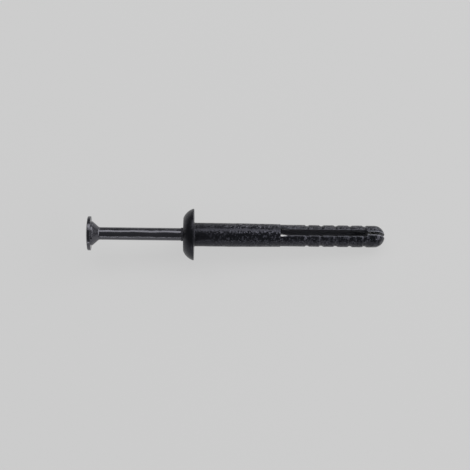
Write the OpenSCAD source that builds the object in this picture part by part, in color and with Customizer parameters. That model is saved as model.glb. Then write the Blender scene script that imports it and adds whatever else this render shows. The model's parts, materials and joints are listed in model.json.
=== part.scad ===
// Hammer fixing plug: a split, die-cast plug with a domed flange, and the steel nail that a hammer
// drives home in it. Both pieces are turned about one axis. They are drawn along +Z from the flange's
// seating face, and then laid down as the pair comes to rest, on the flange's rim and the nose.
// All sizes are in millimetres.

/* [Plug shank] */
// Length from the flange's seating face to the end of the nose
plug_length = 50; // [44:0.5:75]
// Diameter of the straight guide under the flange
shank_d = 6.2; // [6:0.1:7]
// Length of the straight guide, from the seating face
guide_length = 12; // [6:0.5:18]
// Diameter at the end of the drafted shank, where the split begins
draft_d = 5.95; // [5.8:0.05:6]
// Radius of the fillet between the flange and the shank
flange_fillet = 0.4; // [0.2:0.05:0.8]

/* [Split legs] */
// Length of the split, from its root to the end of the nose
split_length = 27.3; // [22:0.1:30]
// Diameter of the two legs
leg_d = 5.7; // [5.4:0.05:5.75]
// Width of the slot between the legs
slot_w = 1.6; // [1:0.1:2]
// Width of the slot at its flared root
slot_root_w = 2.3; // [2.1:0.1:3]
// Length of the flare at the slot's root
slot_flare = 2.6; // [1:0.1:5]
// Width of the slot between the thicker tips of the legs, which the driven nail forces apart
tip_slot_w = 0.8; // [0.5:0.1:1.4]

/* [Grip grooves] */
// Number of grooves round the legs
groove_count = 5; // [1:1:6]
// Distance between grooves
groove_pitch = 3.75; // [2:0.05:4]
// Width of a groove
groove_w = 1.1; // [0.6:0.1:1.5]
// Depth of a groove
groove_depth = 0.25; // [0.1:0.01:0.4]
// Distance from the last groove's middle to the end of the nose
groove_end = 5.4; // [4:0.1:8]

/* [Flange] */
// Diameter of the flange's rim
flange_d = 13.5; // [12:0.1:16]
// Height of the flange, from the seating face to the nail's face
flange_h = 2.8; // [2.5:0.1:4]
// Diameter of the flat face that the nail's head comes down on
face_d = 8.8; // [8:0.1:10]
// Radius of the dome between the flat face and the rim
dome_r = 4.1; // [3:0.1:8]
// Height of the land round the rim
rim_h = 0.3; // [0.1:0.05:0.8]

/* [Drive nail] */
// Diameter of the nail's shank
nail_d = 3.3; // [3:0.05:3.4]
// Diameter of the nail's head
head_d = 9; // [7.5:0.1:11]
// Height of the head's rim
head_rim_h = 0.9; // [0.5:0.05:1.2]
// Rise of the head's crown above its rim
head_crown = 0.4; // [0.1:0.05:0.6]
// Radius on the upper edge of the head's rim
head_edge_r = 0.25; // [0.1:0.05:0.4]
// Diameter of the collar under the head, where the conical neck begins
neck_d = 6.3; // [5.5:0.1:7]
// Height of the collar
collar_h = 0.4; // [0.2:0.05:0.6]
// Length of the conical neck, from the collar to the shank
neck_length = 1.7; // [1.2:0.1:1.8]
// Radius between the neck and the shank
neck_fillet = 0.6; // [0.4:0.1:1]
// Distance from the head's underside to the flange's face before the nail is driven
stand_out = 24.2; // [16:0.1:28]
// Length of the nail's tapered point
point_length = 2.5; // [1.5:0.1:4]
// Diameter of the flat at the end of the point
point_d = 1.4; // [0.8:0.1:2]
// Distance from the driven point to the end of the plug's nose
nose_length = 5; // [4:0.1:8]

/* [Nail's grip ring] */
// Diameter of the ring that holds the nail in the plug until it is driven
ring_d = 3.5; // [3.45:0.05:3.8]
// Length of the ring
ring_length = 1.6; // [1:0.1:2.5]
// How much of the ring stands out of the flange's face before the nail is driven
ring_out = 0.65; // [0.3:0.05:0.9]

/* [Fits] */
// Radial clearance of the nail and its ring in the plug's bores
bore_clearance = 0.05; // [0.03:0.01:0.1]
// Clearance round the nail's neck when its head is home on the flange
seat_clearance = 0.15; // [0.1:0.01:0.25]
// Clearance ahead of the nail's driven point
point_clearance = 0.1; // [0.05:0.01:0.3]

/* [Hidden] */
$fn = 96;

shank_r = shank_d / 2;
draft_r = draft_d / 2;
leg_r = leg_d / 2;
rim_r = flange_d / 2;
face_r = face_d / 2;
nail_r = nail_d / 2;
head_r = head_d / 2;
neck_r = neck_d / 2;
point_r = point_d / 2;
ring_r = ring_d / 2;

// Heights along the plug's axis, from the seating face
face_z = -flange_h;
split_z = plug_length - split_length;
nose_z = plug_length - leg_r;
driven_tip_z = plug_length - nose_length;

// The nail as it stands before it is driven
head_z = face_z - stand_out;
neck_z = head_z + collar_h;
neck_end_z = neck_z + neck_length;
tip_z = driven_tip_z - stand_out;
ring_z = face_z - ring_out;

// A groove is an arc of this radius, groove_w wide at the surface and groove_depth deep
groove_r = (pow(groove_w / 2, 2) + pow(groove_depth, 2)) / (2 * groove_depth);

// The bore guides the ring as far as the ring is driven, and the shank from there on
guide_bore_r = ring_r + bore_clearance;
leg_bore_r = nail_r + bore_clearance;
guide_bore_end = ring_z + ring_length + stand_out + seat_clearance;
bore_end = driven_tip_z + point_clearance;
seat_r = neck_r + seat_clearance;

// Past the bore's end the slot narrows at 45 degrees to its width at the tips
tip_slot_z = bore_end + (slot_w - tip_slot_w) / 2;

// The neck's angle from the axis, how far its fillet reaches along each side of the corner, and the
// height where the plain shank begins
neck_angle = atan2(neck_r - nail_r, neck_length);
neck_slope = tan(neck_angle);
fillet_reach = neck_fillet * tan(neck_angle / 2);
shank_z = neck_end_z + fillet_reach;

// The tilt at which the rim and the two edges of the slot at the nose all touch the surface below
nose_rest_r = sqrt(pow(leg_r, 2) - pow(tip_slot_w / 2, 2));
rest_tilt = acos(nose_rest_r / norm([rim_r, nose_z])) - atan2(nose_z, rim_r);

// Length that a cutting shape runs past the face that it cuts
overcut = 1;

// Centre of the circle of radius r through points a and b, on the left of the way from a to b
function arc_centre(a, b, r) =
    let (half = (b - a) / 2, left = [-half[1], half[0]] / norm(half))
    a + half + left * sqrt(pow(r, 2) - pow(norm(half), 2));

// Turns a profile drawn with the radius along X and the axis along Y
module turned() {
    rotate_extrude() children();
}

// Lays a piece drawn along +Z down with its nose towards +X, at the tilt of rest
module laid_down() {
    rotate([0, 90 + rest_tilt, 0]) children();
}

// A strip of the profile from the axis out to a radius, between two heights
module strip(radius, low, high) {
    translate([0, low]) square([radius, high - low]);
}

// Domed flange with a flat face for the nail and a thin land round its rim
module flange_profile() {
    intersection() {
        strip(rim_r, face_z, 0);
        union() {
            strip(face_r, face_z, 0);
            translate(arc_centre([face_r, face_z], [rim_r, -rim_h], dome_r)) circle(dome_r);
        }
    }
}

// Fillet in the corner between the seating face and the guide
module flange_fillet_profile() {
    difference() {
        strip(shank_r + flange_fillet, 0, flange_fillet);
        translate([shank_r + flange_fillet, flange_fillet]) circle(flange_fillet);
    }
}

// Straight guide, drafted shank, and legs one small step thinner
module shank_profile() {
    polygon([
        [0, 0],
        [shank_r, 0],
        [shank_r, guide_length],
        [draft_r, split_z - (draft_r - leg_r)],
        [leg_r, split_z],
        [leg_r, nose_z],
        [0, nose_z]
    ]);
}

module nose_profile() {
    intersection() {
        strip(leg_r, nose_z, plug_length);
        translate([0, nose_z]) circle(leg_r);
    }
}

module groove_profiles() {
    for (i = [0 : groove_count - 1])
        translate([leg_r - groove_depth + groove_r, plug_length - groove_end - i * groove_pitch])
            circle(groove_r);
}

// Countersunk mouth for the nail's collar and neck, guide for the ring, narrower bore between the legs,
// and the ramp that ends it
module bore_profile() {
    polygon([
        [0, face_z - overcut],
        [seat_r, face_z - overcut],
        [seat_r, face_z + collar_h],
        [guide_bore_r, face_z + collar_h + (seat_r - guide_bore_r) / neck_slope],
        [guide_bore_r, guide_bore_end],
        [leg_bore_r, guide_bore_end + (guide_bore_r - leg_bore_r)],
        [leg_bore_r, bore_end - point_length],
        [point_r + bore_clearance, bore_end],
        [0, bore_end]
    ]);
}

// The slot parts the legs, is flared at its root and is narrow between the tips
module slot_cut() {
    rotate([90, 0, 90])
        linear_extrude(height = 2 * shank_d, center = true)
            polygon([
                [-slot_root_w / 2, split_z],
                [slot_root_w / 2, split_z],
                [slot_w / 2, split_z + slot_flare],
                [slot_w / 2, bore_end],
                [tip_slot_w / 2, tip_slot_z],
                [tip_slot_w / 2, plug_length + overcut],
                [-tip_slot_w / 2, plug_length + overcut],
                [-tip_slot_w / 2, tip_slot_z],
                [-slot_w / 2, bore_end],
                [-slot_w / 2, split_z + slot_flare]
            ]);
}

module plug_body() {
    color([0.10, 0.10, 0.11])
        laid_down()
            difference() {
                turned()
                    difference() {
                        union() {
                            flange_profile();
                            flange_fillet_profile();
                            shank_profile();
                            nose_profile();
                        }
                        groove_profiles();
                        bore_profile();
                    }
                slot_cut();
            }
}

// Disc with a slightly crowned top and a rounded upper edge
module head_profile() {
    top_z = head_z - head_rim_h;
    crown_r = (pow(head_r - head_edge_r, 2) + pow(head_crown, 2)) / (2 * head_crown);
    strip(head_r, top_z + head_edge_r, head_z);
    strip(head_r - head_edge_r, top_z, top_z + head_edge_r);
    intersection() {
        strip(head_r, top_z, top_z + head_edge_r);
        translate([head_r - head_edge_r, top_z + head_edge_r]) circle(head_edge_r);
    }
    intersection() {
        strip(head_r - head_edge_r, top_z - head_crown, top_z);
        translate([0, top_z - head_crown + crown_r]) circle(crown_r);
    }
}

// Collar and cone under the head, faired into the shank
module neck_profile() {
    cone_end = [nail_r, neck_end_z] + fillet_reach * [sin(neck_angle), -cos(neck_angle)];
    fillet_centre = [nail_r + neck_fillet, shank_z];
    difference() {
        polygon([
            [0, head_z],
            [neck_r, head_z],
            [neck_r, neck_z],
            cone_end,
            fillet_centre,
            [0, shank_z]
        ]);
        translate(fillet_centre) circle(neck_fillet);
    }
}

module nail_shank_profile() {
    polygon([
        [0, shank_z],
        [nail_r, shank_z],
        [nail_r, tip_z - point_length],
        [point_r, tip_z],
        [0, tip_z]
    ]);
}

// Raised ring with bevelled ends
module ring_profile() {
    bevel = ring_r - nail_r;
    polygon([
        [0, ring_z],
        [nail_r, ring_z],
        [ring_r, ring_z + bevel],
        [ring_r, ring_z + ring_length - bevel],
        [nail_r, ring_z + ring_length],
        [0, ring_z + ring_length]
    ]);
}

module drive_nail() {
    color([0.16, 0.16, 0.17])
        laid_down()
            turned() {
                head_profile();
                neck_profile();
                nail_shank_profile();
                ring_profile();
            }
}

plug_body();
drive_nail();
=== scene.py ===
import json
import math

import bmesh
import bpy
from mathutils import Matrix, Vector


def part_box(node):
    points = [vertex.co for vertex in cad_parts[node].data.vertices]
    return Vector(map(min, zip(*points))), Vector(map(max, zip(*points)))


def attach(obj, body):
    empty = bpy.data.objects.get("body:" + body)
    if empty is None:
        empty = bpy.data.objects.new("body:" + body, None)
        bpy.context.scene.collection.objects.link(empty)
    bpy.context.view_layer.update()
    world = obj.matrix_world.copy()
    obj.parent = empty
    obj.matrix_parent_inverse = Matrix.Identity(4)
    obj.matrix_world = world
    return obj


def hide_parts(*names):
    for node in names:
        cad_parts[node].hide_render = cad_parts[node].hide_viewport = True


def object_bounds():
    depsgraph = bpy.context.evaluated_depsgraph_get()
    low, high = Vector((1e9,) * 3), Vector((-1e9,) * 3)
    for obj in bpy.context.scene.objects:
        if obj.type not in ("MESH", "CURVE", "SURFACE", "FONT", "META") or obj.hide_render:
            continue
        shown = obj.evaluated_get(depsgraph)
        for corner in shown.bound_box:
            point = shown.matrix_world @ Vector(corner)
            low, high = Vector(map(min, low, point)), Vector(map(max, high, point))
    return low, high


MM = 0.001

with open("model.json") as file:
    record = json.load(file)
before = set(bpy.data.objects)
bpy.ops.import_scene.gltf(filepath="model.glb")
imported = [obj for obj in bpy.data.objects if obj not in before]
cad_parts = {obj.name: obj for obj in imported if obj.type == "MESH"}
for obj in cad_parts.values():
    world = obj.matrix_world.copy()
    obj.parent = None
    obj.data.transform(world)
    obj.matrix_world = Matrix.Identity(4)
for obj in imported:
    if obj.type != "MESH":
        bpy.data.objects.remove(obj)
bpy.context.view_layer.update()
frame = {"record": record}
record = frame["record"]
drive_joint = record["behaviour"]["joints"][0]
shank_mount = next(mount for mount in record["mounts"] if mount["name"] == "shank")

# The frame's origin is the middle of the flange's seat. AXIS runs from it to the nose. UP lies across
# AXIS in the upright middle plane, which is the slot's own plane, and SIDE points through a leg.
AXIS = Vector(drive_joint["axis"]).normalized()
SIDE = Vector((0, 1, 0))
UP = AXIS.cross(SIDE)

# Sizes are in millimetres. Heights run along AXIS, and are negative from the seat to the nail's head.

# The casting
FLANGE_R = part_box("plug_body")[1][1] / MM
FLANGE_H = 2.8
FACE_R = 4.4
DOME_R = 4.1
RIM_H = 0.3
SHANK_R = shank_mount["dims"]["r_mm"]
SEAT_FILLET = 0.4
GUIDE_END = SEAT_FILLET + shank_mount["dims"]["length_mm"]
DRAFT_R = 2.975
LEG_R = 2.85
SPLIT = 22.7
PLUG_END = 50.0
NOSE = PLUG_END - LEG_R
SLOT_HALF = 0.8
SLOT_ROOT_HALF = 1.15
SLOT_FLARE = 2.6
TIP_SLOT_HALF = 0.4
GROOVE_COUNT = 5
GROOVE_PITCH = 3.75
GROOVE_HALF = 0.55
GROOVE_DEPTH = 0.25
GROOVE_END = 5.4
GROOVE_LAST = PLUG_END - GROOVE_END

# The nail, as it stands before it is driven
TRAVEL = drive_joint["range_m"][1] / MM
NAIL_R = 1.65
HEAD_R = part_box("drive_nail")[1][1] / MM
HEAD_UNDER = -FLANGE_H - TRAVEL
HEAD_RIM_H = 0.9
HEAD_CROWN = 0.4
HEAD_EDGE = 0.25
NECK_R = 3.15
COLLAR_H = 0.4
NECK_LENGTH = 1.7
NECK_FILLET = 0.6
RING_R = 1.75
RING_OUT = 0.65
RING_START = -FLANGE_H - RING_OUT
RING_LENGTH = 1.6
POINT_R = 0.7
POINT_LENGTH = 2.5
NOSE_LENGTH = 5.0
NAIL_END = PLUG_END - NOSE_LENGTH - TRAVEL

# The bore that takes the nail. The face stands FACE_ROOM short of its height in the solids, so that the
# driven nail's head lies on it without cutting in.
BORE_CLEARANCE = 0.05
SEAT_CLEARANCE = 0.15
POINT_CLEARANCE = 0.1
FACE_ROOM = 0.02
MOUTH_R = NECK_R + SEAT_CLEARANCE
GUIDE_BORE_R = RING_R + BORE_CLEARANCE
GUIDE_BORE_END = RING_START + RING_LENGTH + TRAVEL + SEAT_CLEARANCE
LEG_BORE_R = NAIL_R + BORE_CLEARANCE
RAMP_START = NAIL_END + TRAVEL - POINT_LENGTH + POINT_CLEARANCE
RAMP_END = NAIL_END + TRAVEL + POINT_CLEARANCE
TIP_SLOT_START = RAMP_END + SLOT_HALF - TIP_SLOT_HALF

# Roundings of edges that the solids leave sharp. The slot's edge grows to its full rounding over
# SLOT_EDGE_GROWTH from its root.
THROAT_ROUND = 0.1
COLLAR_SEAT_ROUND = 0.06
MOUTH_ROUND = 0.1
DOME_ROUND = 0.22
RIM_ROUND = 0.12
SEAT_ROUND = 0.1
STEP_ROUND = 0.08
SLOT_EDGE = 0.2
SLOT_EDGE_GROWTH = 0.5
TIP_EDGE = 0.08
GROOVE_SOFTNESS = 0.08
HEAD_UNDER_ROUND = 0.1
COLLAR_ROOT_ROUND = 0.08
COLLAR_ROUND = 0.3
RING_FOOT_ROUND = 0.03
RING_ROUND = 0.05
POINT_ROOT_ROUND = 0.3
POINT_ROUND = 0.2

# The casting's uneven skin: how wide and how high its ripple is, the radius that it lies outside of, and
# the place along AXIS from which it is full.
RIPPLE_SIZE = 2.2
RIPPLE_HEIGHT = 0.09
RIPPLE_R = 2.4
RIPPLE_FULL = 2.0

# How finely the meshes are divided, what is merged, and what is shaded as an edge
ROUND_STEPS = 5
DOME_STEPS = 24
FILLET_STEPS = 8
LEG_STEPS = 44
SLOT_STEPS = 14
WALL_STEPS = 5
EDGE_STEPS = 4
NOSE_STEPS = 36
CROWN_STEPS = 14
HEAD_EDGE_STEPS = 6
NAIL_SEGMENTS = 128
PLUG_SPACING = 0.3
LEG_SPACING = 0.1
NAIL_SPACING = 0.35
MERGE_GAP = 1e-4
SLIVER = 1e-5
SHARP_ANGLE = math.radians(40)

# How the photograph sees the part: in 470 x 470 pixels, each PIXEL wide at the part, with its middle on
# the axis, VIEW_MIDDLE along the frame's X.
IMAGE_SIZE = 470
PIXEL = 0.2624
VIEW_ELEVATION = math.radians(70)
VIEW_ROLL = math.radians(0.68)
VIEW_MIDDLE = 10.73
LENS = 150.0
SENSOR = 36.0


def linear(hex_colour):
    """The linear colour of an sRGB hex value."""
    channels = (int(hex_colour[i:i + 2], 16) / 255 for i in (1, 3, 5))
    return tuple(c / 12.92 if c <= 0.04045 else ((c + 0.055) / 1.055) ** 2.4 for c in channels) + (1.0,)


def add(tree, kind, settings=None, **inputs):
    """Adds a node, sets its properties, and sets or links its inputs. In an input's name _ stands for a
    space, and _0 is the first input."""
    node = tree.nodes.new(kind)
    for name, value in (settings or {}).items():
        setattr(node, name, value)
    for name, value in inputs.items():
        socket = node.inputs[int(name[1:]) if name[1:].isdigit() else name.replace("_", " ")]
        if isinstance(value, bpy.types.NodeSocket):
            tree.links.new(value, socket)
        else:
            socket.default_value = value
    return node


# Settings of the nodes that come up most
TIMES = {"operation": "MULTIPLY"}
ABOVE = {"operation": "GREATER_THAN"}
SCALED = {"operation": "SCALE"}
DOT = {"operation": "DOT_PRODUCT"}
APART = {"operation": "DISTANCE"}
COLOURS = {"data_type": "RGBA"}

# The range that a noise seldom leaves
NOISE_LOW = 0.3
NOISE_HIGH = 0.7


def new_material(name):
    material = bpy.data.materials.new(name)
    material.use_nodes = True
    material.node_tree.nodes.clear()
    return material, material.node_tree


def clamp(x):
    return min(max(x, 0.0), 1.0)


def place(height, up, side):
    """A point of the frame, in metres, from millimetres along AXIS, UP and SIDE."""
    return (AXIS * height + UP * up + SIDE * side) * MM


# Profiles: lists of (height, radius) points in millimetres

def arc(centre, start, end, steps):
    """Points on the shorter arc about a centre from one point to another."""
    first = math.atan2(start[1] - centre[1], start[0] - centre[0])
    turn = math.remainder(math.atan2(end[1] - centre[1], end[0] - centre[0]) - first, math.tau)
    radius = math.dist(centre, start)
    angles = (first + turn * i / steps for i in range(steps + 1))
    return [(centre[0] + radius * math.cos(a), centre[1] + radius * math.sin(a)) for a in angles]


def arc_through(start, end, radius, steps):
    """Points on an arc of a given radius from start to end, its centre on the right of that way."""
    start, end = Vector(start), Vector(end)
    half = (end - start) / 2
    right = Vector((half.y, -half.x)).normalized()
    centre = start + half + right * math.sqrt(radius ** 2 - half.length_squared)
    return arc(centre, start, end, steps)


def rounded(corners):
    """A profile through corners (height, radius, rounding), each rounded by an arc of that radius."""
    points = []
    for i, (height, radius, rounding) in enumerate(corners):
        if not rounding or i in (0, len(corners) - 1):
            points.append((height, radius))
            continue
        here = Vector((height, radius))
        back = (Vector(corners[i - 1][:2]) - here).normalized()
        ahead = (Vector(corners[i + 1][:2]) - here).normalized()
        half_angle = back.angle(ahead) / 2
        reach = rounding / math.tan(half_angle)
        centre = here + (back + ahead).normalized() * (rounding / math.sin(half_angle))
        points += arc(centre, here + back * reach, here + ahead * reach, ROUND_STEPS)
    return points


def stretch(a, b, count):
    """Points that divide the way from a to b into equal steps, without a itself."""
    return [(a[0] + (b[0] - a[0]) * i / count, a[1] + (b[1] - a[1]) * i / count)
            for i in range(1, count + 1)]


def spaced(profile, step):
    """The same profile with its long stretches divided, so that it shades truly beside a rounded edge."""
    points = [profile[0]]
    for a, b in zip(profile, profile[1:]):
        points += stretch(a, b, max(1, math.ceil(math.dist(a, b) / step)))
    return points


def plug_profile():
    """From the bore's end at the split, out of its mouth, over the flange and back along the shank."""
    mouth_depth = (MOUTH_R - GUIDE_BORE_R) * NECK_LENGTH / (NECK_R - NAIL_R)
    face = -FLANGE_H + FACE_ROOM
    dome = arc_through((face, FACE_R), (-RIM_H, FLANGE_R), DOME_R, DOME_STEPS)
    fillet_r = SHANK_R + SEAT_FILLET
    fillet = arc((SEAT_FILLET, fillet_r), (0, fillet_r), (SEAT_FILLET, SHANK_R), FILLET_STEPS)
    # From the rounding beside the face the profile goes straight to the dome's third point.
    corners = [
        (SPLIT, LEG_BORE_R, 0),
        (GUIDE_BORE_END + GUIDE_BORE_R - LEG_BORE_R, LEG_BORE_R, 0),
        (GUIDE_BORE_END, GUIDE_BORE_R, 0),
        (-FLANGE_H + COLLAR_H + mouth_depth, GUIDE_BORE_R, THROAT_ROUND),
        (-FLANGE_H + COLLAR_H, MOUTH_R, COLLAR_SEAT_ROUND),
        (face, MOUTH_R, MOUTH_ROUND),
        (*dome[0], DOME_ROUND),
        *((height, radius, 0) for height, radius in dome[2:-1]),
        (*dome[-1], RIM_ROUND),
        (0, FLANGE_R, SEAT_ROUND),
        *((height, radius, 0) for height, radius in fillet),
        (GUIDE_END, SHANK_R, 0),
        (SPLIT - (DRAFT_R - LEG_R), DRAFT_R, STEP_ROUND),
        (SPLIT, leg_radius(SPLIT), 0),
    ]
    return spaced(rounded(corners), PLUG_SPACING)


def nail_profile():
    """From the middle of the head's crown, over the head and along the nail to the middle of its point."""
    head_top = HEAD_UNDER - HEAD_RIM_H
    flat_r = HEAD_R - HEAD_EDGE
    crown_r = (flat_r ** 2 + HEAD_CROWN ** 2) / (2 * HEAD_CROWN)
    crown_top = head_top - HEAD_CROWN
    crown = arc((crown_top + crown_r, 0), (crown_top, 0), (head_top, flat_r), CROWN_STEPS)
    edge_end = head_top + HEAD_EDGE
    edge = arc((edge_end, flat_r), (head_top, flat_r), (edge_end, HEAD_R), HEAD_EDGE_STEPS)
    bevel = RING_R - NAIL_R
    corners = [
        *((height, radius, 0) for height, radius in crown + edge[1:]),
        (HEAD_UNDER, HEAD_R, HEAD_UNDER_ROUND),
        (HEAD_UNDER, NECK_R, COLLAR_ROOT_ROUND),
        (HEAD_UNDER + COLLAR_H, NECK_R, COLLAR_ROUND),
        (HEAD_UNDER + COLLAR_H + NECK_LENGTH, NAIL_R, NECK_FILLET),
        (RING_START, NAIL_R, RING_FOOT_ROUND),
        (RING_START + bevel, RING_R, RING_ROUND),
        (RING_START + RING_LENGTH - bevel, RING_R, RING_ROUND),
        (RING_START + RING_LENGTH, NAIL_R, RING_FOOT_ROUND),
        (NAIL_END - POINT_LENGTH, NAIL_R, POINT_ROOT_ROUND),
        (NAIL_END, POINT_R, POINT_ROUND),
        (NAIL_END, 0, 0),
    ]
    return spaced(rounded(corners), NAIL_SPACING)


# Sections of the legs

def leg_radius(height):
    """The legs' radius. The grip grooves are shallow arcs, with lips as soft as casting leaves them."""
    arc_r = (GROOVE_HALF ** 2 + GROOVE_DEPTH ** 2) / (2 * GROOVE_DEPTH)
    index = clamp((GROOVE_LAST - height) / GROOVE_PITCH / (GROOVE_COUNT - 1)) * (GROOVE_COUNT - 1)
    away = min(abs(height - GROOVE_LAST + round(index) * GROOVE_PITCH), arc_r)
    depth = math.sqrt(arc_r ** 2 - away ** 2) - (arc_r - GROOVE_DEPTH)
    return LEG_R - (depth + math.hypot(depth, GROOVE_SOFTNESS)) / 2


def slot_half(height):
    """Half the slot's width: wider at its root, and narrow between the legs' tips."""
    flare = (SLOT_ROOT_HALF - SLOT_HALF) * (1 - clamp((height - SPLIT) / SLOT_FLARE))
    return SLOT_HALF + flare - min(max(height - RAMP_END, 0.0), SLOT_HALF - TIP_SLOT_HALF)


def bore_radius(height):
    """The bore between the legs, with the ramp that the nail's point stops before."""
    if height < RAMP_START:
        return LEG_BORE_R
    if height < RAMP_END:
        slope = (POINT_R + BORE_CLEARANCE - LEG_BORE_R) / (RAMP_END - RAMP_START)
        return LEG_BORE_R + slope * (height - RAMP_START)
    return 0.0


def sweep(centre, radius, first, last, steps):
    """Points (up, side) on an arc of a section from one angle to another, without its first point."""
    angles = (first + (last - first) * i / steps for i in range(1, steps + 1))
    return [(centre[0] + radius * math.cos(a), centre[1] + radius * math.sin(a)) for a in angles]


def leg_section(height):
    """A leg cut across, as a closed loop of (up, side) points: outside, lower wall, bore, upper wall."""
    radius, half, bore = leg_radius(height), slot_half(height), bore_radius(height)
    to_tip = clamp((height - RAMP_END) / (TIP_SLOT_START - RAMP_END))
    full_edge = SLOT_EDGE + (TIP_EDGE - SLOT_EDGE) * to_tip
    edge = full_edge * clamp((height - SPLIT) / SLOT_EDGE_GROWTH)
    edge_up = math.sqrt((radius - edge) ** 2 - (half + edge) ** 2)
    first = math.atan2(half + edge, edge_up)
    bore_up = math.sqrt(max(bore ** 2 - half ** 2, 0.0))
    bore_first = math.atan2(half, bore_up)
    loop = [(radius * math.cos(first), radius * math.sin(first))]
    loop += sweep((0, 0), radius, first, math.pi - first, LEG_STEPS)
    loop += sweep((-edge_up, half + edge), edge, math.pi - first, math.pi * 3 / 2, EDGE_STEPS)
    loop += stretch((-edge_up, half), (-bore_up, half), WALL_STEPS)
    loop += sweep((0, 0), max(bore, half), math.pi - bore_first, bore_first, LEG_STEPS)
    loop += stretch((bore_up, half), (edge_up, half), WALL_STEPS)
    loop += sweep((edge_up, half + edge), edge, -math.pi / 2, first, EDGE_STEPS)[:-1]
    return loop


# The casting's mesh

def skin(build, rows, closed):
    """Joins rows of points with faces, each row closed into a loop or left open."""
    made = [[build.verts.new(place(*point)) for point in row] for row in rows]
    for row, below in zip(made, made[1:]):
        for i in range(len(row) - (not closed)):
            j = (i + 1) % len(row)
            build.faces.new((row[i], row[j], below[j], below[i]))


def ring_angles(slot_angle):
    """Angles from UP round the axis: across the slot, round a leg, across the slot, round the other leg."""
    runs = [(-slot_angle, slot_angle, SLOT_STEPS), (slot_angle, math.pi - slot_angle, LEG_STEPS)]
    return [turn + a + (b - a) * i / n for turn in (0, math.pi) for a, b, n in runs for i in range(n)]


def add_flange_and_shank(build):
    """Rings round the axis from the bore's end at the split, out over the flange and down to the split,
    and the slot's floor, above and below the bore, between the first ring and the last."""
    # The slot's walls meet the bore and the outside at different angles. The rings go over from one to
    # the other across the mouth and the face.
    outer_angle = math.asin(SLOT_ROOT_HALF / leg_radius(SPLIT))
    bore_angle = math.asin(SLOT_ROOT_HALF / LEG_BORE_R)
    rows, outside = [], False
    for height, radius in plug_profile():
        outside = outside or radius > FACE_R
        share = 1.0 if outside else clamp((radius - GUIDE_BORE_R) / (FACE_R - GUIDE_BORE_R))
        angles = ring_angles(bore_angle + (outer_angle - bore_angle) * share)
        rows.append([(height, radius * math.cos(a), radius * math.sin(a)) for a in angles])
    skin(build, rows, True)
    for start in (0, SLOT_STEPS + LEG_STEPS):
        inner, outer = (row[start:start + SLOT_STEPS + 1] for row in (rows[0], rows[-1]))
        ends = [(Vector(a), Vector(b)) for a, b in zip(inner, outer)]
        floor = [[a.lerp(b, i / WALL_STEPS) for a, b in ends] for i in range(WALL_STEPS + 1)]
        skin(build, floor, False)


def add_legs(build):
    """Two legs along the slot, and the two halves of the ball that they end in."""
    corners = [SPLIT, SPLIT + SLOT_FLARE, RAMP_START, RAMP_END, TIP_SLOT_START, NOSE]
    heights = [height for height, _ in spaced([(corner, 0) for corner in corners], LEG_SPACING)]
    # The upper half of the last section turns about SIDE, from above the axis to below, to make the ball.
    last = leg_section(NOSE)
    upper = last[LEG_STEPS // 2::-1] + last[:-EDGE_STEPS - WALL_STEPS - 1:-1]
    turns = [math.pi * i / NOSE_STEPS for i in range(NOSE_STEPS + 1)]
    for sign in (1, -1):
        leg = [[(height, up, sign * side) for up, side in leg_section(height)] for height in heights]
        skin(build, leg, True)
        ball = [[(NOSE + up * math.sin(a), up * math.cos(a), sign * side) for up, side in upper]
                for a in turns]
        skin(build, ball, False)


def make_casting():
    """The plug's mesh, before its skin is made uneven."""
    build = bmesh.new()
    add_flange_and_shank(build)
    add_legs(build)
    bmesh.ops.remove_doubles(build, verts=build.verts, dist=MERGE_GAP * MM)
    bmesh.ops.dissolve_degenerate(build, edges=build.edges, dist=SLIVER * MM)
    bmesh.ops.recalc_face_normals(build, faces=build.faces)
    mesh = bpy.data.meshes.new("casting")
    build.to_mesh(mesh)
    build.free()
    mesh.shade_smooth()
    mesh.set_sharp_from_angle(angle=SHARP_ANGLE)
    return mesh


# Geometry Nodes

def new_tree(name, sockets):
    """A Geometry Nodes tree with a geometry input and output and the named inputs given."""
    tree = bpy.data.node_groups.new(name, "GeometryNodeTree")
    tree.interface.new_socket("Geometry", in_out="INPUT", socket_type="NodeSocketGeometry")
    for socket, kind in sockets.items():
        tree.interface.new_socket(socket, in_out="INPUT", socket_type=kind)
    tree.interface.new_socket("Geometry", in_out="OUTPUT", socket_type="NodeSocketGeometry")
    return tree, add(tree, "NodeGroupInput").outputs


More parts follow.
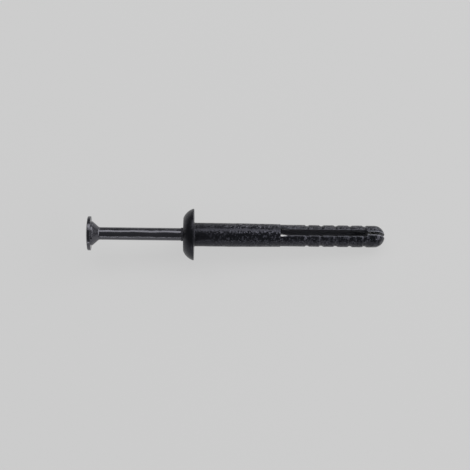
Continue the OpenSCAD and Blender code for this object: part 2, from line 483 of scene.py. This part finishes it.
def turned_tree():
    """Turns the object's points, radius in X and height in Z, round the axis into a closed skin."""
    tree, given = new_tree("turned", {
        "Segments": "NodeSocketInt", "Axis": "NodeSocketVector", "Up": "NodeSocketVector",
        "Side": "NodeSocketVector", "Material": "NodeSocketMaterial"})
    points = given["Geometry"]
    count = add(tree, "GeometryNodeAttributeDomainSize", Geometry=points).outputs["Point Count"]
    columns = add(tree, "ShaderNodeMath", {"operation": "ADD"}, _0=given["Segments"], _1=1.0).outputs[0]
    grid = add(tree, "GeometryNodeMeshGrid", Vertices_X=columns, Vertices_Y=count).outputs["Mesh"]

    # A grid's column becomes an angle, and its row a point of the profile.
    index = add(tree, "GeometryNodeInputIndex").outputs[0]
    share = add(tree, "ShaderNodeMath", {"operation": "DIVIDE"}, _0=index, _1=count).outputs[0]
    column = add(tree, "ShaderNodeMath", {"operation": "FLOOR"}, _0=share).outputs[0]
    row = add(tree, "ShaderNodeMath", {"operation": "MODULO"}, _0=index, _1=count).outputs[0]
    turn = add(tree, "ShaderNodeMath", {"operation": "DIVIDE"}, _0=column, _1=given["Segments"]).outputs[0]
    angle = add(tree, "ShaderNodeMath", TIMES, _0=turn, _1=math.tau).outputs[0]
    where = add(tree, "GeometryNodeInputPosition").outputs[0]
    point = add(tree, "GeometryNodeSampleIndex", {"data_type": "FLOAT_VECTOR"}, Geometry=points,
                Value=where, Index=row).outputs["Value"]
    radius, _, height = add(tree, "ShaderNodeSeparateXYZ", Vector=point).outputs
    total = add(tree, "ShaderNodeVectorMath", SCALED, _0=given["Axis"], Scale=height).outputs[0]
    for direction, function in ((given["Up"], "COSINE"), (given["Side"], "SINE")):
        part = add(tree, "ShaderNodeMath", {"operation": function}, _0=angle).outputs[0]
        reach = add(tree, "ShaderNodeMath", TIMES, _0=part, _1=radius).outputs[0]
        step = add(tree, "ShaderNodeVectorMath", SCALED, _0=direction, Scale=reach).outputs[0]
        total = add(tree, "ShaderNodeVectorMath", {"operation": "ADD"}, _0=total, _1=step).outputs[0]

    turned = add(tree, "GeometryNodeSetPosition", Geometry=grid, Position=total).outputs["Geometry"]
    closed = add(tree, "GeometryNodeMergeByDistance", Geometry=turned,
                 Distance=MERGE_GAP * MM).outputs["Geometry"]
    smooth = add(tree, "GeometryNodeSetShadeSmooth", Geometry=closed).outputs["Geometry"]
    real = add(tree, "GeometryNodeRealizeInstances", Geometry=smooth).outputs["Geometry"]
    finished = add(tree, "GeometryNodeSetMaterial", Geometry=real, Material=given["Material"])
    add(tree, "NodeGroupOutput", Geometry=finished.outputs["Geometry"])
    return tree


def cast_skin_tree():
    """Moves the casting's outer skin a few hundredths of a millimetre, as metal shrinks unevenly in its
    die, and leaves the flange smooth, which the nail's head comes to rest on."""
    tree, given = new_tree("cast_skin", {
        "Ripple Size": "NodeSocketFloat", "Ripple Height": "NodeSocketFloat", "Axis": "NodeSocketVector",
        "Outside": "NodeSocketFloat", "Flat Until": "NodeSocketFloat", "Full From": "NodeSocketFloat",
        "Material": "NodeSocketMaterial"})
    where = add(tree, "GeometryNodeInputPosition").outputs[0]
    scale = add(tree, "ShaderNodeMath", {"operation": "DIVIDE"}, _0=1.0, _1=given["Ripple Size"]).outputs[0]
    noise = add(tree, "ShaderNodeTexNoise", Vector=where, Scale=scale, Detail=3.0,
                Roughness=0.55).outputs[0]
    centred = add(tree, "ShaderNodeMath", {"operation": "SUBTRACT"}, _0=noise, _1=0.5).outputs[0]
    height = add(tree, "ShaderNodeMath", TIMES, _0=centred, _1=given["Ripple Height"]).outputs[0]

    along = add(tree, "ShaderNodeVectorMath", DOT, _0=where, _1=given["Axis"]).outputs["Value"]
    on_axis = add(tree, "ShaderNodeVectorMath", SCALED, _0=given["Axis"], Scale=along).outputs[0]
    radius = add(tree, "ShaderNodeVectorMath", APART, _0=where, _1=on_axis).outputs["Value"]
    outside = add(tree, "ShaderNodeMath", ABOVE, _0=radius, _1=given["Outside"]).outputs[0]
    clear = add(tree, "ShaderNodeMapRange", Value=along, From_Min=given["Flat Until"],
                From_Max=given["Full From"]).outputs[0]
    shift = add(tree, "ShaderNodeMath", TIMES, _0=height, _1=outside).outputs[0]
    shift = add(tree, "ShaderNodeMath", TIMES, _0=shift, _1=clear).outputs[0]

    normal = add(tree, "GeometryNodeInputNormal").outputs[0]
    offset = add(tree, "ShaderNodeVectorMath", SCALED, _0=normal, Scale=shift).outputs[0]
    moved = add(tree, "GeometryNodeSetPosition", Geometry=given["Geometry"], Offset=offset)
    real = add(tree, "GeometryNodeRealizeInstances", Geometry=moved.outputs["Geometry"]).outputs["Geometry"]
    finished = add(tree, "GeometryNodeSetMaterial", Geometry=real, Material=given["Material"])
    add(tree, "NodeGroupOutput", Geometry=finished.outputs["Geometry"])
    return tree


def grown(name, mesh, tree, **inputs):
    """An object whose mesh is what the tree makes of the mesh given, with nothing left live on it."""
    piece = bpy.data.objects.new(name, mesh)
    bpy.context.collection.objects.link(piece)
    modifier = piece.modifiers.new(tree.name, "NODES")
    modifier.node_group = tree
    names = {item.name: item.identifier for item in tree.interface.items_tree if item.in_out == "INPUT"}
    for socket, value in inputs.items():
        modifier[names[socket.replace("_", " ")]] = value
    evaluated = piece.evaluated_get(bpy.context.evaluated_depsgraph_get())
    piece.data = bpy.data.meshes.new_from_object(evaluated)
    piece.modifiers.clear()
    return piece


# The two pieces

def make_plug(material):
    piece = grown("cast_plug", make_casting(), cast_skin_tree(), Ripple_Size=RIPPLE_SIZE * MM,
                  Ripple_Height=RIPPLE_HEIGHT * MM, Axis=AXIS, Outside=RIPPLE_R * MM,
                  Flat_Until=SEAT_FILLET * MM, Full_From=RIPPLE_FULL * MM, Material=material)
    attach(piece, "plug")
    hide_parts("plug_body")


def make_nail(material):
    mesh = bpy.data.meshes.new("nail_profile")
    mesh.from_pydata([(radius * MM, 0, height * MM) for height, radius in nail_profile()], [], [])
    piece = grown("headed_nail", mesh, turned_tree(), Segments=NAIL_SEGMENTS, Axis=AXIS, Up=UP, Side=SIDE,
                  Material=material)
    build = bmesh.new()
    build.from_mesh(piece.data)
    bmesh.ops.recalc_face_normals(build, faces=build.faces)
    build.to_mesh(piece.data)
    build.free()
    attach(piece, "nail")
    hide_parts("drive_nail")


# The casting's finish, with its sizes in millimetres. The real grain is about 0.1 mm across: it is drawn
# coarser, to show at the photograph's scale. THIN is the range of a grain's own value over which its coat
# turns pale, and WORN the range of Pointiness over which an edge is worn.
GRAIN = 0.36
GRAIN_TILT = 0.27
FLANGE_TILT = 0.0945
SMOOTH_END = -0.5
SANDY_FULL = GUIDE_END / 2
CLOUD = 2.5
COAT_ROUGH = (0.2, 0.29)
FLANGE_ROUGH = 0.34
WALL_ROUGH = 0.8
THIN = (0.62, 0.85)
WORN = (0.52, 0.6)
WORN_SHARE = 0.5
# The next radius bounds the dull bore, which is painted a paler grey as painted light.
BORE_MASK_R = 2.2
# Painted highlights along the edges beside the slit of the tips and along the slot's lips
SLIT_HIGHLIGHT = 0.3
SLIT_HIGHLIGHT_FULL = 0.15
SLIT_HIGHLIGHT_SHARE = 0.8
SLIT_WALL = 0.005
LIP_HIGHLIGHT = 0.35
LIP_HIGHLIGHT_FULL = 0.15
LIP_HIGHLIGHT_SHARE = 0.3
LIP_R = 2.5
LIP_FULL_R = 2.65


def coated_zinc_casting():
    """A satin black coat with a bluish cast on a sandy die casting. Every grain is a facet of its own,
    which breaks the highlight into flecks, but the flange comes smoother from its die. The flange and
    the shank beside it are duller, and are painted a deeper black as a painted shade of the flange.
    Elsewhere the coat is pale and thin on some grains. It is worn along edges, and dull on the slot's
    walls. Painted highlights pale the slot's lips and the edges beside the slit of the tips. The bore
    between the legs is dull, and painted light turns it grey."""
    material, tree = new_material("black_coated_zinc_casting")
    where = add(tree, "ShaderNodeTexCoord").outputs["Object"]
    surface = add(tree, "ShaderNodeNewGeometry").outputs
    along = add(tree, "ShaderNodeVectorMath", DOT, _0=where, _1=AXIS).outputs["Value"]
    on_axis = add(tree, "ShaderNodeVectorMath", SCALED, _0=AXIS, Scale=along).outputs[0]
    radius = add(tree, "ShaderNodeVectorMath", APART, _0=where, _1=on_axis).outputs["Value"]
    side = add(tree, "ShaderNodeSeparateXYZ", Vector=where).outputs["Y"]
    side = add(tree, "ShaderNodeMath", {"operation": "ABSOLUTE"}, _0=side).outputs[0]
    grain = add(tree, "ShaderNodeTexVoronoi", Vector=where, Scale=1 / (GRAIN * MM)).outputs["Color"]
    cloud = add(tree, "ShaderNodeTexNoise", Vector=where, Scale=1 / (CLOUD * MM), Detail=2.0).outputs[0]

    # Each grain leans its own way, and less on the flange.
    tilt = add(tree, "ShaderNodeMapRange", Value=along, From_Min=SMOOTH_END * MM, From_Max=SANDY_FULL * MM,
               To_Min=FLANGE_TILT, To_Max=GRAIN_TILT).outputs[0]
    middle_grey = (0.5, 0.5, 0.5)
    lean = add(tree, "ShaderNodeVectorMath", {"operation": "SUBTRACT"}, _0=grain, _1=middle_grey).outputs[0]
    lean = add(tree, "ShaderNodeVectorMath", SCALED, _0=lean, Scale=tilt).outputs[0]
    facet = add(tree, "ShaderNodeVectorMath", _0=surface["Normal"], _1=lean).outputs[0]
    facet = add(tree, "ShaderNodeVectorMath", {"operation": "NORMALIZE"}, _0=facet).outputs[0]

    # The slot's walls and the bore, from the split to the tips. Both are dull, and the bore is painted a
    #     # paler grey, as painted light in its deep shade.
    split = add(tree, "ShaderNodeMath", ABOVE, _0=along, _1=SPLIT * MM).outputs[0]
    tips = add(tree, "ShaderNodeMath", ABOVE, _0=along, _1=TIP_SLOT_START * MM).outputs[0]
    legs = add(tree, "ShaderNodeMath", {"operation": "SUBTRACT"}, _0=split, _1=tips).outputs[0]
    wall = add(tree, "ShaderNodeMapRange", Value=side, From_Min=(SLOT_HALF + SLOT_EDGE) * MM,
               From_Max=SLOT_HALF * MM).outputs[0]
    wall = add(tree, "ShaderNodeMath", TIMES, _0=wall, _1=legs).outputs[0]
    bore_dull_and_painted_light = add(tree, "ShaderNodeMapRange", Value=radius, From_Min=BORE_MASK_R * MM,
               From_Max=LEG_BORE_R * MM).outputs[0]
    bore_dull_and_painted_light = add(tree, "ShaderNodeMath", TIMES, _0=bore_dull_and_painted_light, _1=legs).outputs[0]
    dull = add(tree, "ShaderNodeMath", {"operation": "MAXIMUM"}, _0=wall, _1=bore_dull_and_painted_light).outputs[0]

    # Painted highlights on the edges beside the slit of the tips, but not on its walls, and on the lips of
    #     # the slot
    slit = add(tree, "ShaderNodeMapRange", Value=side, From_Min=(TIP_SLOT_HALF + SLIT_HIGHLIGHT) * MM,
               From_Max=(TIP_SLOT_HALF + SLIT_HIGHLIGHT_FULL) * MM, To_Max=SLIT_HIGHLIGHT_SHARE).outputs[0]
    slit = add(tree, "ShaderNodeMath", TIMES, _0=slit, _1=tips).outputs[0]
    outer = add(tree, "ShaderNodeMath", ABOVE, _0=side, _1=(TIP_SLOT_HALF + SLIT_WALL) * MM).outputs[0]
    slit = add(tree, "ShaderNodeMath", TIMES, _0=slit, _1=outer).outputs[0]
    lip = add(tree, "ShaderNodeMapRange", Value=side, From_Min=(SLOT_HALF + LIP_HIGHLIGHT) * MM,
              From_Max=(SLOT_HALF + LIP_HIGHLIGHT_FULL) * MM, To_Max=LIP_HIGHLIGHT_SHARE).outputs[0]
    crest = add(tree, "ShaderNodeMapRange", Value=radius, From_Min=LIP_R * MM,
                From_Max=LIP_FULL_R * MM).outputs[0]
    lip = add(tree, "ShaderNodeMath", TIMES, _0=lip, _1=crest).outputs[0]
    lip = add(tree, "ShaderNodeMath", TIMES, _0=lip, _1=legs).outputs[0]
    painted_highlight = add(tree, "ShaderNodeMath", {"operation": "MAXIMUM"}, _0=slit, _1=lip).outputs[0]

    # The coat goes over from the flange's dull, deep black to its full finish along the straight shank.
    #     # The deep black is painted shade of the flange.
    fade = add(tree, "ShaderNodeMapRange", Value=along, From_Min=0.0, From_Max=GUIDE_END * MM).outputs[0]
    rough = add(tree, "ShaderNodeMapRange", Value=cloud, From_Min=NOISE_LOW, From_Max=NOISE_HIGH,
                To_Min=COAT_ROUGH[0], To_Max=COAT_ROUGH[1]).outputs[0]
    rough = add(tree, "ShaderNodeMix", _0=fade, _2=FLANGE_ROUGH, _3=rough).outputs[0]
    rough = add(tree, "ShaderNodeMix", _0=dull, _2=rough, _3=WALL_ROUGH).outputs[0]

    # The colour, from the coat through its thin grains and worn edges, with painted shade by the flange,
    #     # painted light in the bore, and painted highlights by the slot
    thin = add(tree, "ShaderNodeMapRange", Value=grain, From_Min=THIN[0], From_Max=THIN[1]).outputs[0]
    # The painted shade of the flange also takes the pale grains away there.
    thin = add(tree, "ShaderNodeMath", TIMES, _0=thin, _1=fade).outputs[0]
    worn = add(tree, "ShaderNodeMapRange", Value=surface["Pointiness"], From_Min=WORN[0], From_Max=WORN[1],
               To_Max=WORN_SHARE).outputs[0]
    coat = add(tree, "ShaderNodeMix", COLOURS, _0=cloud, _6=linear("#0a0b0e"),
               _7=linear("#121317")).outputs[2]
    # Painted shade: towards the flange the coat is painted a deeper black.
    coat = add(tree, "ShaderNodeMix", COLOURS, _0=fade, _6=linear("#040507"), _7=coat).outputs[2]
    coat = add(tree, "ShaderNodeMix", COLOURS, _0=thin, _6=coat, _7=linear("#3f4047")).outputs[2]
    coat = add(tree, "ShaderNodeMix", COLOURS, _0=worn, _6=coat, _7=linear("#5a5b62")).outputs[2]
    # Painted light: the bore between the legs is painted a paler grey, which lifts its deep shade.
    coat = add(tree, "ShaderNodeMix", COLOURS, _0=bore_dull_and_painted_light, _6=coat, _7=linear("#56575c")).outputs[2]
    # Painted highlight: the slot's lips and the edges beside the slit are painted a pale grey.
    coat = add(tree, "ShaderNodeMix", COLOURS, _0=painted_highlight, _6=coat, _7=linear("#7c7d84")).outputs[2]
    shader = add(tree, "ShaderNodeBsdfPrincipled", Base_Color=coat, Roughness=rough, Normal=facet,
                 Specular_IOR_Level=0.42, Specular_Tint=linear("#ecebff"))
    add(tree, "ShaderNodeOutputMaterial", Surface=shader.outputs["BSDF"])
    return material


# The nail's finish, with its sizes in millimetres. The real drawing lines are a few hundredths of a
# millimetre wide: they are drawn coarser, to show. LINE_SQUEEZE is the share of the nail's length that is
# taken out of their pattern, which draws it out along the nail.
LINE = 0.4
LINE_HEIGHT = 0.02
LINE_SQUEEZE = 0.93
WAVE = 2.0
WAVE_HEIGHT = 0.12
OXIDE_ROUGH = (0.15, 0.24)
RING_ROUGH = 0.7


def black_oxide_steel():
    """Drawn wire with a blue-black oxide skin: a smooth semi-gloss, brighter than a lacquer's for the
    oxide's higher index, whose highlight wavers along the nail and is drawn out into faint lines. The
    grip ring is dull from its pressing, and shows as a dark band where the nail enters the plug."""
    material, tree = new_material("black_oxide_steel")
    where = add(tree, "ShaderNodeTexCoord").outputs["Object"]
    along = add(tree, "ShaderNodeVectorMath", DOT, _0=where, _1=AXIS).outputs["Value"]
    squeeze = add(tree, "ShaderNodeMath", TIMES, _0=along, _1=-LINE_SQUEEZE).outputs[0]
    shift = add(tree, "ShaderNodeVectorMath", SCALED, _0=AXIS, Scale=squeeze).outputs[0]
    drawn = add(tree, "ShaderNodeVectorMath", _0=where, _1=shift).outputs[0]
    lines = add(tree, "ShaderNodeTexNoise", Vector=drawn, Scale=1 / (LINE * MM), Detail=2.0).outputs[0]
    wave = add(tree, "ShaderNodeTexNoise", Vector=where, Scale=1 / (WAVE * MM), Detail=1.0).outputs[0]
    rough = add(tree, "ShaderNodeMapRange", Value=lines, From_Min=NOISE_LOW, From_Max=NOISE_HIGH,
                To_Min=OXIDE_ROUGH[0], To_Max=OXIDE_ROUGH[1]).outputs[0]
    ring = add(tree, "ShaderNodeMath", {"operation": "COMPARE"}, _0=along,
               _1=(RING_START + RING_LENGTH / 2) * MM, _2=RING_LENGTH / 2 * MM).outputs[0]
    rough = add(tree, "ShaderNodeMix", _0=ring, _2=rough, _3=RING_ROUGH).outputs[0]
    oxide = add(tree, "ShaderNodeMix", COLOURS, _0=lines, _6=linear("#0b0c0f"),
                _7=linear("#16171c")).outputs[2]
    waver = add(tree, "ShaderNodeBump", Height=wave, Strength=1.0, Distance=WAVE_HEIGHT * MM).outputs[0]
    bump = add(tree, "ShaderNodeBump", Height=lines, Strength=1.0, Distance=LINE_HEIGHT * MM,
               Normal=waver).outputs[0]
    shader = add(tree, "ShaderNodeBsdfPrincipled", Base_Color=oxide, Roughness=rough, Normal=bump, IOR=1.95,
                 Specular_Tint=linear("#f3f2ff"))
    add(tree, "ShaderNodeOutputMaterial", Surface=shader.outputs["BSDF"])
    return material


# The studio, in metres and watts
FLOOR_HALF = 1.2
FLOOR_GLOW = 0.85
ROOM_LIGHT = 0.15


def make_floor():
    """A sheet of pale paper under the part. The camera and the reflections see FLOOR_GLOW of it as an even
    grey, and the rest as lit paper, which keeps the part's shadow."""
    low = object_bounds()[0].z
    corners = [(x * FLOOR_HALF, y * FLOOR_HALF, low) for x, y in ((-1, -1), (1, -1), (1, 1), (-1, 1))]
    mesh = bpy.data.meshes.new("floor")
    mesh.from_pydata(corners, [], [(0, 1, 2, 3)])
    floor = bpy.data.objects.new("floor", mesh)
    bpy.context.collection.objects.link(floor)
    material, tree = new_material("pale_matt_paper")
    paper = add(tree, "ShaderNodeBsdfDiffuse", Color=linear("#cccccc")).outputs["BSDF"]
    glow = add(tree, "ShaderNodeEmission", Color=linear("#d0d0d0"), Strength=1.0).outputs["Emission"]
    ray = add(tree, "ShaderNodeLightPath").outputs
    seen = ray["Is Camera Ray"]
    for kind in ("Is Glossy Ray", "Is Transmission Ray"):
        seen = add(tree, "ShaderNodeMath", {"operation": "MAXIMUM"}, _0=seen, _1=ray[kind]).outputs[0]
    share = add(tree, "ShaderNodeMath", TIMES, _0=seen, _1=FLOOR_GLOW).outputs[0]
    both = add(tree, "ShaderNodeMixShader", _0=share, _1=paper, _2=glow).outputs[0]
    add(tree, "ShaderNodeOutputMaterial", Surface=both)
    mesh.materials.append(material)


def soft_box(name, target, size, away, power):
    """A rectangular lamp, so far away from the target and turned to it."""
    data = bpy.data.lights.new(name, "AREA")
    data.shape = "RECTANGLE"
    data.size, data.size_y = size
    data.energy = power
    lamp = bpy.data.objects.new(name, data)
    bpy.context.collection.objects.link(lamp)
    lamp.location = target + Vector(away)
    lamp.rotation_euler = Vector(away).to_track_quat("Z", "Y").to_euler()
    lamp.visible_camera = False


def make_light(target):
    """Four soft boxes round the part, in a dim room."""
    soft_box("key_box", target, size=(0.8, 0.32), away=(0, 0.28, 0.53), power=1.75)
    soft_box("front_box", target, size=(0.36, 0.1), away=(-0.2, -0.6, 0.06), power=0.32)
    soft_box("back_box", target, size=(0.4, 0.25), away=(0.22, 0.59, 0.13), power=0.72)
    soft_box("end_box", target, size=(1.3, 0.4), away=(0.55, 0, 0.35), power=3.9)
    world = bpy.data.worlds.new("studio")
    bpy.context.scene.world = world
    world.use_nodes = True
    background = world.node_tree.nodes["Background"]
    background.inputs["Color"].default_value = linear("#ffffff")
    background.inputs["Strength"].default_value = ROOM_LIGHT


def make_camera(target):
    """Looks square to the axis, VIEW_ELEVATION above the plane of AXIS and SIDE, as the photograph does."""
    data = bpy.data.cameras.new("camera")
    data.sensor_width = SENSOR
    data.lens = LENS
    data.clip_start, data.clip_end = 0.01, 10
    camera = bpy.data.objects.new("camera", data)
    bpy.context.collection.objects.link(camera)
    back = UP * math.sin(VIEW_ELEVATION) - SIDE * math.cos(VIEW_ELEVATION)
    distance = IMAGE_SIZE * PIXEL * MM * LENS / SENSOR
    turn = Matrix((AXIS, back.cross(AXIS), back)).transposed() @ Matrix.Rotation(VIEW_ROLL, 3, "Z")
    camera.matrix_world = Matrix.Translation(target + back * distance) @ turn.to_4x4()
    bpy.context.scene.camera = camera


make_plug(coated_zinc_casting())
make_nail(black_oxide_steel())
middle = AXIS * (VIEW_MIDDLE * MM / AXIS.x)
make_floor()
make_light(middle)
make_camera(middle)
bpy.context.scene.view_settings.view_transform = "Standard"
